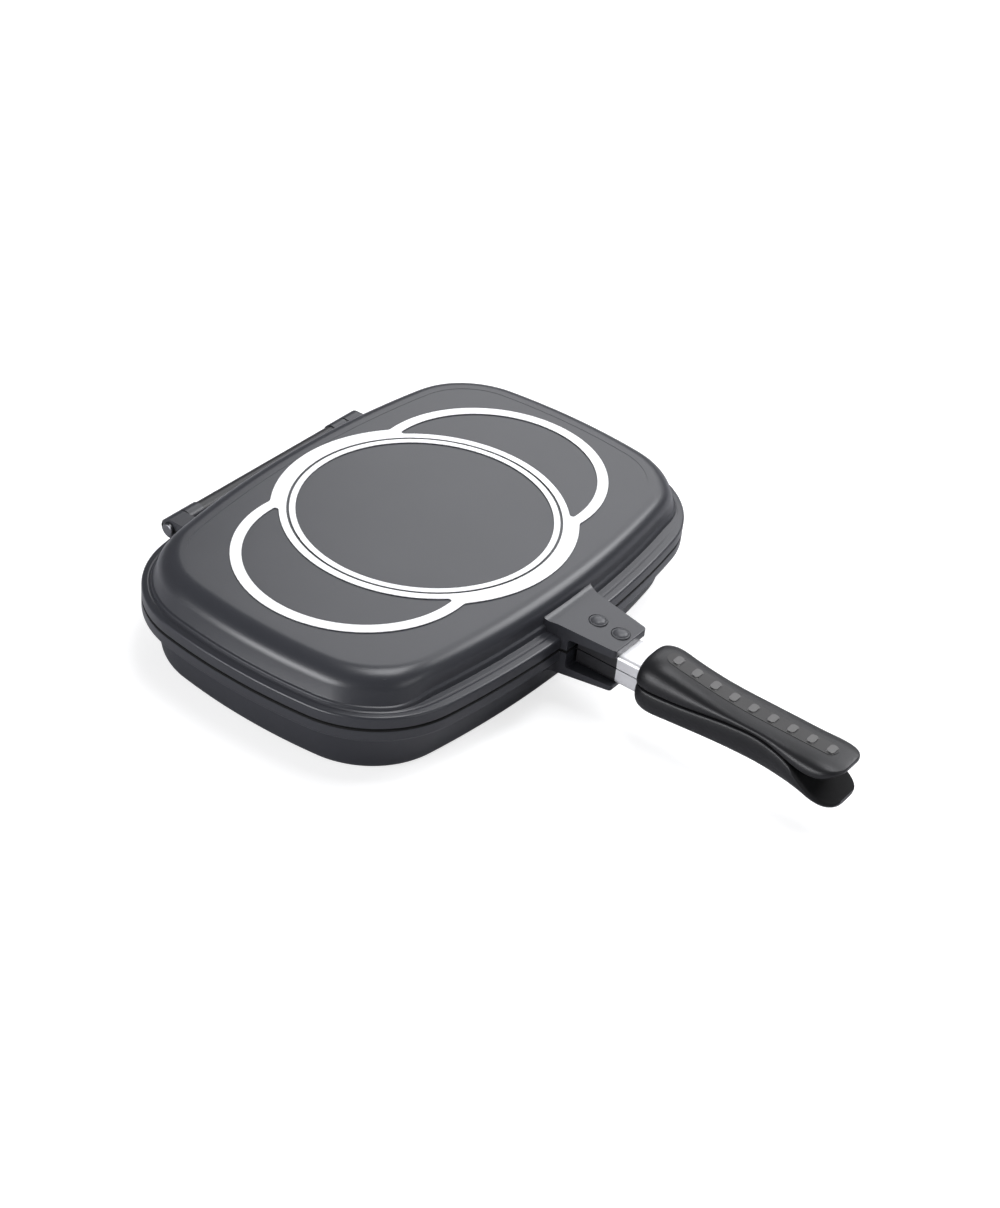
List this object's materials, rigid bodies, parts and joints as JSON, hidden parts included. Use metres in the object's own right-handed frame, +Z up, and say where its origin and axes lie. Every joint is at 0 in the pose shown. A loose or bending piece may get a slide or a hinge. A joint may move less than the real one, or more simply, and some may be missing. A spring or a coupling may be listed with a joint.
{
  "type": "double sided flip pan",
  "caption": "Two shallow cast pans hinged along one long side, with a sealed rim, grill ribs inside and a split handle held shut by a magnet.",
  "frame": {"origin": "middle of the ring pattern that the closed pan stands on, in the plane it stands on", "axes": "+Z up, -Y towards the handle, +Y towards the hinge, X along the long sides and the hinge"},
  "size_m": [0.36, 0.4598, 0.0733],
  "materials": {
    "pan_coating": "satin dark non-stick coating on cast aluminium",
    "seal": "matte silicone",
    "hinge_steel": "satin",
    "sleeve": "satin black",
    "tang_steel": "bright satin",
    "rivets": "satin dark",
    "grip": "fine matte phenolic",
    "strip": "matte silicone",
    "magnet": "plated"
  },
  "bodies": {
    "lower_half": {"lower_pan": "pan_coating", "rim_seal": "seal", "hinge_rod": "hinge_steel", "hinge_caps": "hinge_steel", "hinge_washers": "hinge_steel", "hinge_sleeve": "sleeve", "lower_tang": "tang_steel", "lower_rivets": "rivets", "lower_grip": "grip", "lower_grip_strip": "strip", "lower_grip_screws": "tang_steel", "grip_magnet": "magnet"},
    "upper_half": {"upper_pan": "pan_coating", "upper_tang": "tang_steel", "upper_rivets": "rivets", "upper_grip": "grip", "upper_grip_strip": "strip", "upper_grip_screws": "tang_steel", "keeper_plate": "tang_steel"}
  },
  "joints": [
    {"name": "lid_hinge", "type": "hinge", "parent": "lower_half", "child": "upper_half", "pos_m": [0, 0.1325, 0.042], "axis": [-1, 0, 0], "range_deg": [0, 180]}
  ]
}
